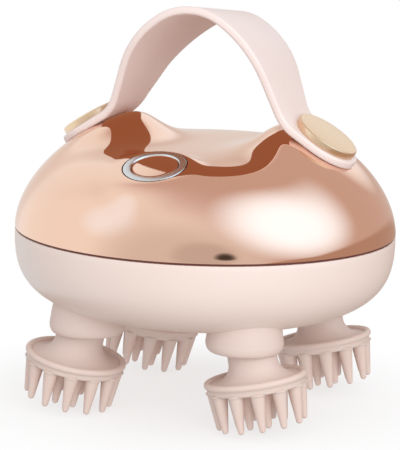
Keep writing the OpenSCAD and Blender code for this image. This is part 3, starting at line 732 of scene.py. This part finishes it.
def make_studs():
    for name, side in (("left", -1), ("right", 1)):
        # Turned aluminium, anodised champagne gold: a satin face with concentric lines and a polished bevel
        gold = turned("turned_champagne_gold", "#EDCFB0", "#E4C29E", seat_place(side), 0.35, 0.003,
                      (0.26, 0.36), Metallic=1.0)
        top = STRAP_T + STUD_T
        outline = soften([(0, STRAP_T, 0), (STUD_R, STRAP_T, 0.25), (STUD_R, top, 0.5), (0, top, 0)], 4)
        bm = moved(spun(outline, HEAD_TURNS), seat_place(side))
        make_piece(f"stud_face_{name}", bm, gold, "root", "stud_gold", f"stud_{name}")


# ---------------------------------------------------------------- power button


def make_button():
    low = BUTTON_PROUD - BUTTON_T
    ring = spun(soften([(CAP_R, low, 0), (BUTTON_R, low, 0), (BUTTON_R, BUTTON_PROUD, 0.35),
                        (CAP_R + 0.3, BUTTON_PROUD, 0.1), (CAP_R, BUTTON_PROUD - 0.35, 0.1)]), BUTTON_TURNS)
    make_piece("button_bezel", moved(ring, button_place()), ring_silver, "button", "ring_silver",
               "button_ring")
    top, steps = BUTTON_PROUD + CAP_CROWN, 12
    crown = [(CAP_R * k / steps, top - CAP_FALL * (k / steps) ** 2) for k in range(steps - 1, -1, -1)]
    side = CAP_R - CAP_GAP
    cap = spun([(0, low), (side, low), (side, 0.05), (CAP_R - 0.2, 0.22)] + crown, BUTTON_TURNS)
    stem = plug(STEM_R, STEM_END, low + 0.01, Matrix.Identity(4), SMALL_TURNS)
    make_piece("button_face", moved(joined([cap, stem]), button_place()), rose_gold_cap, "button",
               "rose_gold_button", "button_cap")


# ---------------------------------------------------------------- heads


def make_collar(head):
    lip_in, lip_h = COLLAR_LIP
    lip = [(COLLAR_R - lip_in * (1 - cos(a)), lip_h * (1 - sin(a))) for a in range(90, -1, -10)]
    outline = [(SEAL_R, COLLAR_FLOOR), (COLLAR_BORE, COLLAR_FLOOR), (COLLAR_BORE, 0.25), *lip,
               (COLLAR_R - 0.5, COLLAR_WAIST), (COLLAR_R - 1.4, COLLAR_TOP), (SEAL_R, COLLAR_TOP)]
    bm = moved(spun(outline, HEAD_TURNS), shaft_place(head) @ Matrix.Translation((0, 0, -COLLAR_DEPTH)))
    make_piece(f"collar_skirt_{head}", bm, soft_touch, "root", "pink_abs", f"collar_{head}")


def make_hub(head):
    flare = [(NECK_R + (FLARE_R - NECK_R) * (1 - sin(a)), FLARE_H * (1 - cos(a))) for a in range(0, 91, 6)]
    outline = [(0, -DISC_T), (DISC_R, -DISC_T), (DISC_R, -0.15), (DISC_R - 0.15, 0), *flare,
               (NECK_R, NECK_H), (0, NECK_H)]
    bm = moved(spun(outline, HEAD_TURNS), head_place(head))
    bmesh.ops.bisect_plane(bm, geom=bm.verts[:] + bm.edges[:] + bm.faces[:], plane_co=(0, 0, -NECK_CUT),
                           plane_no=(0, 0, 1), clear_outer=True)
    bmesh.ops.holes_fill(bm, edges=[e for e in bm.edges if e.is_boundary], sides=0)
    make_piece(f"head_disc_{head}", bm, soft_touch, f"head_{head}", "pink_abs", f"head_hub_{head}")


def make_pad(head):
    rim = [(RIM_R - RIM_BEAD + RIM_BEAD * cos(a), RIM_BEAD * sin(a) - 0.1) for a in range(180, -69, -12)]
    step = soften([(PAD_STEP_R, -1.35, 0), (PAD_STEP_R, -PAD_T, 0.8), (0, -PAD_T, 0)])
    plate = [(0, -DISC_T), (DISC_R, -DISC_T), (DISC_R, 0), (DISC_R - 0.7, 0), *rim, *step]
    parts = [spun(plate, BUTTON_TURNS)]
    for ring_r, count, turn in FINGER_RINGS:
        for k in range(count):
            parts.append(moved(finger(), rotation(FINGER_PHASE + turn + 360 * k / count, "Z")
                               @ Matrix.Translation((ring_r, 0, -PAD_T))))
    bm = moved(joined(parts), head_place(head))
    make_piece(f"massage_pad_{head}", bm, finger_silicone, f"head_{head}", "finger_silicone",
               f"finger_pad_{head}")


def finger():
    """One finger: a small fillet at its root, a slim cone and a round tip."""
    root = [(FINGER_ROOT_R + FINGER_FILLET * (1 - sin(a)), -FINGER_FILLET * (1 - cos(a)))
            for a in range(0, 91, 30)]
    tip = [(FINGER_TIP_R * cos(a), FINGER_TIP_R * (1 - sin(a)) - FINGER_L) for a in range(0, 91, 15)]
    return spun([(0, 0.5), (root[0][0], 0.5), *root, *tip], FINGER_TURNS)


# ---------------------------------------------------------------- studio


def light(name, power, place):
    lamp = bpy.data.lights.new(name, "AREA")
    lamp.energy = power
    lamp.size = LAMP_SIZE
    holder = bpy.data.objects.new(name, lamp)
    bpy.context.scene.collection.objects.link(holder)
    holder.location = place
    holder.rotation_euler = (Vector(place) - Vector(LAMP_AIM)).to_track_quat("Z", "Y").to_euler()
    holder.visible_glossy = False


def direction(azimuth, elevation):
    return sin(azimuth) * cos(elevation), -cos(azimuth) * cos(elevation), sin(elevation)


def make_studio():
    """The world: plain white to the camera, panels to shiny surfaces and soft light to matt ones."""
    world = bpy.data.worlds.new("studio")
    bpy.context.scene.world = world
    world.use_nodes = True
    tree = world.node_tree
    tree.nodes.clear()
    toward = add(tree, "ShaderNodeTexCoord").outputs["Generated"]
    level = add(tree, "ShaderNodeRGB").outputs[0]
    level.default_value = (*STUDIO_LIGHT, 1)
    for azimuth, elevation, inner, outer, panel in STUDIO_PANELS:
        aligned = add(tree, "ShaderNodeVectorMath", {0: toward, 1: direction(azimuth, elevation)},
                      operation="DOT_PRODUCT")
        mask = add(tree, "ShaderNodeMapRange", {
            "Value": aligned.outputs["Value"], "From Min": cos(outer), "From Max": cos(inner)},
            interpolation_type="SMOOTHSTEP")
        lit = add(tree, "ShaderNodeMix", {0: mask.outputs[0], 6: level, 7: (*panel, 1)}, data_type="RGBA")
        level = lit.outputs[2]
    ray = add(tree, "ShaderNodeLightPath")
    shiny = add(tree, "ShaderNodeMath", {
        0: ray.outputs["Is Glossy Ray"], 1: ray.outputs["Is Transmission Ray"]}, operation="MAXIMUM")
    facing = add(tree, "ShaderNodeVectorMath", {0: toward, 1: direction(*SOFT_FROM)}, operation="DOT_PRODUCT")
    near = add(tree, "ShaderNodeMapRange", {
        "Value": facing.outputs["Value"], "From Min": -SOFT_TURN, "From Max": SOFT_TURN})
    matt = add(tree, "ShaderNodeMix", {0: near.outputs[0], 6: (*SOFT_FAR, 1), 7: (*SOFT_NEAR, 1)},
               data_type="RGBA")
    soft = add(tree, "ShaderNodeMix", {0: shiny.outputs[0], 6: matt.outputs[2], 7: level}, data_type="RGBA")
    seen = add(tree, "ShaderNodeMix", {0: ray.outputs["Is Camera Ray"], 6: soft.outputs[2], 7: (1, 1, 1, 1)},
               data_type="RGBA")
    background = add(tree, "ShaderNodeBackground", {"Color": seen.outputs[2]})
    out = add(tree, "ShaderNodeOutputWorld")
    tree.links.new(background.outputs[0], out.inputs["Surface"])
    for lamp in LAMPS:
        light(*lamp)


def make_floor():
    """A pale floor that keeps the shadow near the object and fades to white further out."""
    bm = bmesh.new()
    bmesh.ops.create_circle(bm, cap_ends=True, segments=CUT_TURNS, radius=FLOOR_R)
    floor = made_object("floor", bm)
    # Matt white paper: it takes a soft shadow, and the lit sweep beyond it shows as plain white
    material, tree = new_material("matt_white_paper")
    place = add(tree, "ShaderNodeTexCoord").outputs["Object"]
    fibre = add(tree, "ShaderNodeTexNoise", {"Vector": place, "Scale": 1 / (PAPER_GRAIN * MM), "Detail": 3.0})
    paper = add(tree, "ShaderNodeMix", {0: fibre.outputs[0], 6: linear("#FAFAFA"), 7: linear("#F7F7F7")},
                data_type="RGBA")
    matt = add(tree, "ShaderNodeBsdfDiffuse", {"Color": paper.outputs[2]})
    white = add(tree, "ShaderNodeEmission", {"Color": (1, 1, 1, 1), "Strength": 1.0})
    distance = add(tree, "ShaderNodeVectorMath", {0: place}, operation="LENGTH")
    fade = add(tree, "ShaderNodeMapRange", {
        "Value": distance.outputs["Value"], "From Min": FLOOR_FADE[0], "From Max": FLOOR_FADE[1],
        "To Min": FLOOR_WHITE}, interpolation_type="SMOOTHSTEP")
    blend = add(tree, "ShaderNodeMixShader", {0: fade.outputs[0], 1: matt.outputs[0], 2: white.outputs[0]})
    out = add(tree, "ShaderNodeOutputMaterial")
    tree.links.new(blend.outputs[0], out.inputs["Surface"])
    floor.data.materials.append(material)
    floor.visible_glossy = False
    floor.visible_diffuse = False


def make_painted_strap_shade():
    """A glowing skin under the strap that only reflections see: painted shade that the dome mirrors as a
    brown band.
    """
    half = [point for point in strap_line() if point[1] > STRAP_SHADE_FROM]
    bm = swept([strap_ring(*point, spare=STRAP_SHADE_WIDER, drop=STRAP_SHADE_DROP)
                for point in both_sides(half)])
    bmesh.ops.recalc_face_normals(bm, faces=bm.faces)
    skin = made_object("strap_shade", moved(bm, TO_FRAME))
    # Painted shade: a brown glow on its outer side, and nothing on its inner side
    material, tree = new_material("strap_shade")
    brown = add(tree, "ShaderNodeEmission", {"Color": (*PAINTED_STRAP_SHADE, 1)})
    clear = add(tree, "ShaderNodeBsdfTransparent")
    inner = add(tree, "ShaderNodeNewGeometry").outputs["Backfacing"]
    blend = add(tree, "ShaderNodeMixShader", {0: inner, 1: brown.outputs[0], 2: clear.outputs[0]})
    out = add(tree, "ShaderNodeOutputMaterial")
    tree.links.new(blend.outputs[0], out.inputs["Surface"])
    skin.data.materials.append(material)
    skin.visible_camera = False
    skin.visible_diffuse = False
    skin.visible_shadow = False
    skin.visible_transmission = False


def make_camera():
    """A long lens, a little above the seam and to the right of the button."""
    back = Vector(direction(CAMERA_AZIMUTH, CAMERA_ELEVATION))
    level = Vector((cos(CAMERA_AZIMUTH), sin(CAMERA_AZIMUTH), 0))
    up = back.cross(level)
    right = level * cos(CAMERA_ROLL) + up * sin(CAMERA_ROLL)
    tall = up * cos(CAMERA_ROLL) - level * sin(CAMERA_ROLL)
    lens = bpy.data.cameras.new("camera")
    lens.sensor_fit = "AUTO"
    lens.sensor_width = CAMERA_SENSOR
    lens.lens = CAMERA_LENS
    lens.clip_start, lens.clip_end = CAMERA_CLIP
    camera = bpy.data.objects.new("camera", lens)
    bpy.context.scene.collection.objects.link(camera)
    place = Matrix((right, tall, back)).transposed().to_4x4()
    place.translation = level * CAMERA_ASIDE + Vector((0, 0, CAMERA_ABOVE + SEAM)) + back * CAMERA_DISTANCE
    camera.matrix_world = place
    bpy.context.scene.camera = camera


make_camera()
make_studio()
make_floor()
make_painted_strap_shade()
dress_frame()
make_dome()
make_bowl()
make_gasket()
make_contacts()
make_screws()
make_strap()
make_studs()
make_button()
for head in ("fl", "fr", "bl", "br"):
    make_collar(head)
    make_hub(head)
    make_pad(head)

bpy.context.scene.view_settings.view_transform = "Standard"
